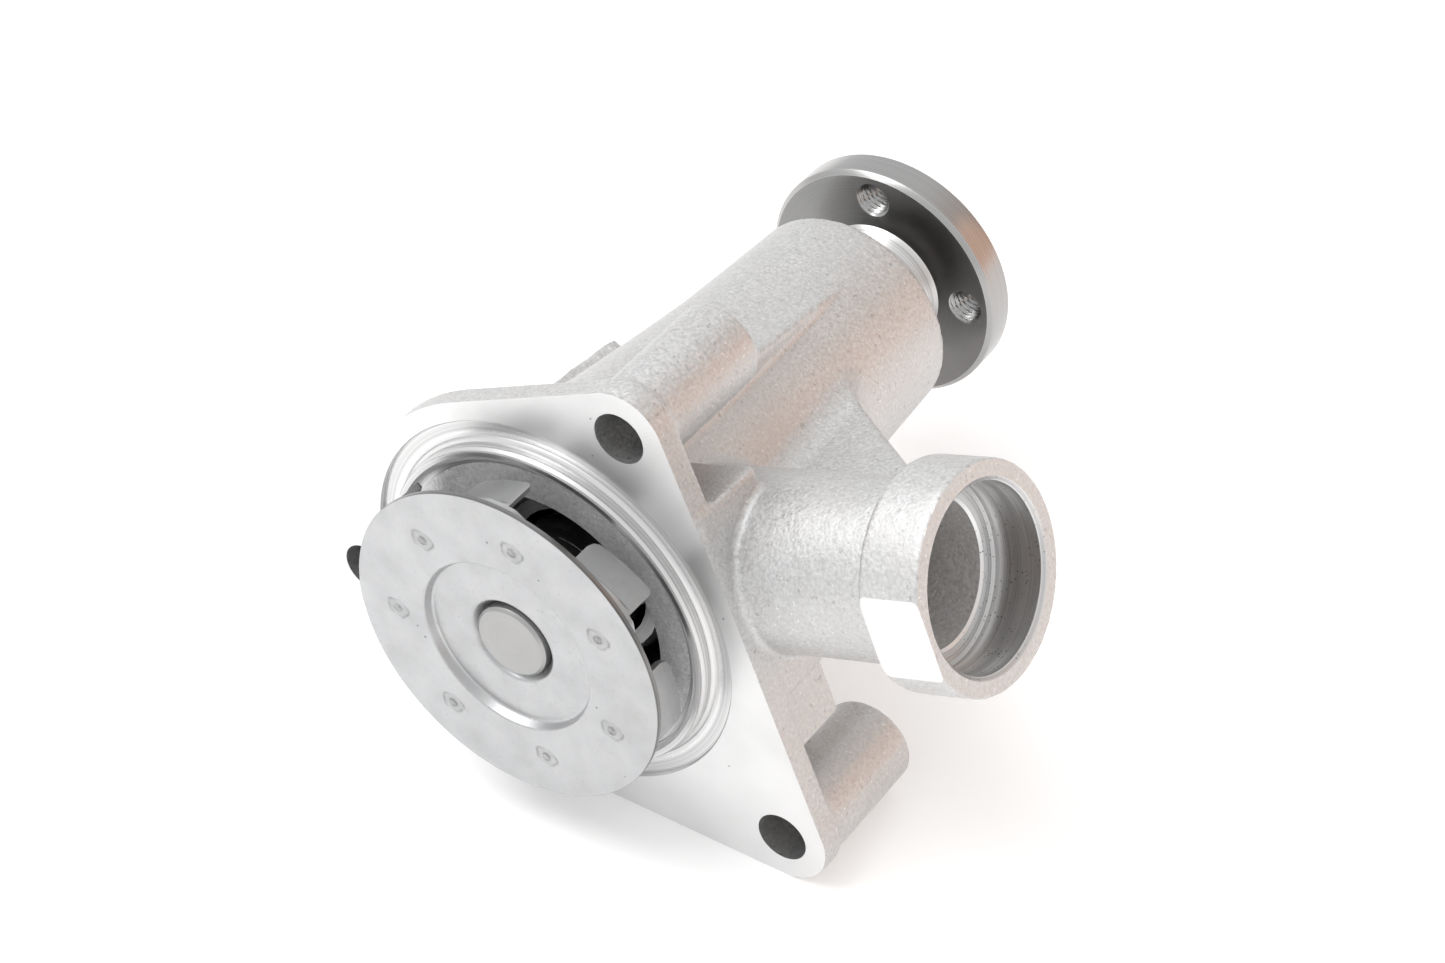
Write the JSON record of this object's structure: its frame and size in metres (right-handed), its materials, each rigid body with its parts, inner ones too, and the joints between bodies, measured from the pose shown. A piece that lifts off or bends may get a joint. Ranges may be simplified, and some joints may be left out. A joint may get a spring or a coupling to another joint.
{
  "type": "engine water pump",
  "caption": "Cast aluminium engine water pump with a three-bolt flange, an angled inlet, a long bearing nose, a pressed steel impeller and a pulley hub.",
  "frame": {"origin": "the middle of the pulley hub's outer face, on the shaft axis", "axes": "+Y along the shaft, from the impeller to the pulley hub; -Z is the way the flange's level lower edge faces; +X is the side that the inlet leaves on, 20.2 degrees below the inlet's own direction"},
  "size_m": [0.1478, 0.1423, 0.1041],
  "materials": {
    "cast_aluminium": "rough cast, with machined faces",
    "zinc_plated_sheet": "satin zinc plating",
    "ground_steel": "ground",
    "turned_steel": "turned",
    "bearing_steel": "polished",
    "stainless_steel": "drawn",
    "black_rubber": "matt",
    "carbon_graphite": "lapped",
    "white_ceramic": "lapped",
    "nylon_cage": "moulded"
  },
  "bodies": {
    "housing": {"housing": "cast_aluminium", "bearing_outer_ring": "bearing_steel", "bearing_seal_front": "black_rubber", "bearing_seal_rear": "black_rubber", "seal_cup": "stainless_steel", "seal_bellows": "black_rubber", "seal_spring": "stainless_steel", "seal_carbon_ring": "carbon_graphite"},
    "rotor": {"shaft": "ground_steel", "impeller_disc": "zinc_plated_sheet", "impeller_vane_plate": "zinc_plated_sheet", "pulley_hub": "turned_steel", "seal_seat_ring": "white_ceramic", "seal_seat_boot": "black_rubber", "slinger": "black_rubber"},
    "ball_row_front": {"ball_cage_front": "nylon_cage", "ball_front_1": "bearing_steel", "ball_front_2": "bearing_steel", "ball_front_3": "bearing_steel", "ball_front_4": "bearing_steel", "ball_front_5": "bearing_steel", "ball_front_6": "bearing_steel", "ball_front_7": "bearing_steel", "ball_front_8": "bearing_steel"},
    "ball_row_rear": {"ball_cage_rear": "nylon_cage", "ball_rear_1": "bearing_steel", "ball_rear_2": "bearing_steel", "ball_rear_3": "bearing_steel", "ball_rear_4": "bearing_steel", "ball_rear_5": "bearing_steel", "ball_rear_6": "bearing_steel", "ball_rear_7": "bearing_steel", "ball_rear_8": "bearing_steel"}
  },
  "joints": [
    {"name": "rotor_spin", "type": "hinge", "parent": "housing", "child": "rotor", "pos_m": [0, 0, 0], "axis": [0, 1, 0], "continuous": true},
    {"name": "ball_row_front_spin", "type": "hinge", "parent": "housing", "child": "ball_row_front", "pos_m": [0, 0, 0], "axis": [0, 1, 0], "continuous": true},
    {"name": "ball_row_rear_spin", "type": "hinge", "parent": "housing", "child": "ball_row_rear", "pos_m": [0, 0, 0], "axis": [0, 1, 0], "continuous": true}
  ],
  "couplings": [
    {"joint": "ball_row_front_spin", "follows": "rotor_spin", "ratio": 0.35},
    {"joint": "ball_row_rear_spin", "follows": "rotor_spin", "ratio": 0.35}
  ]
}
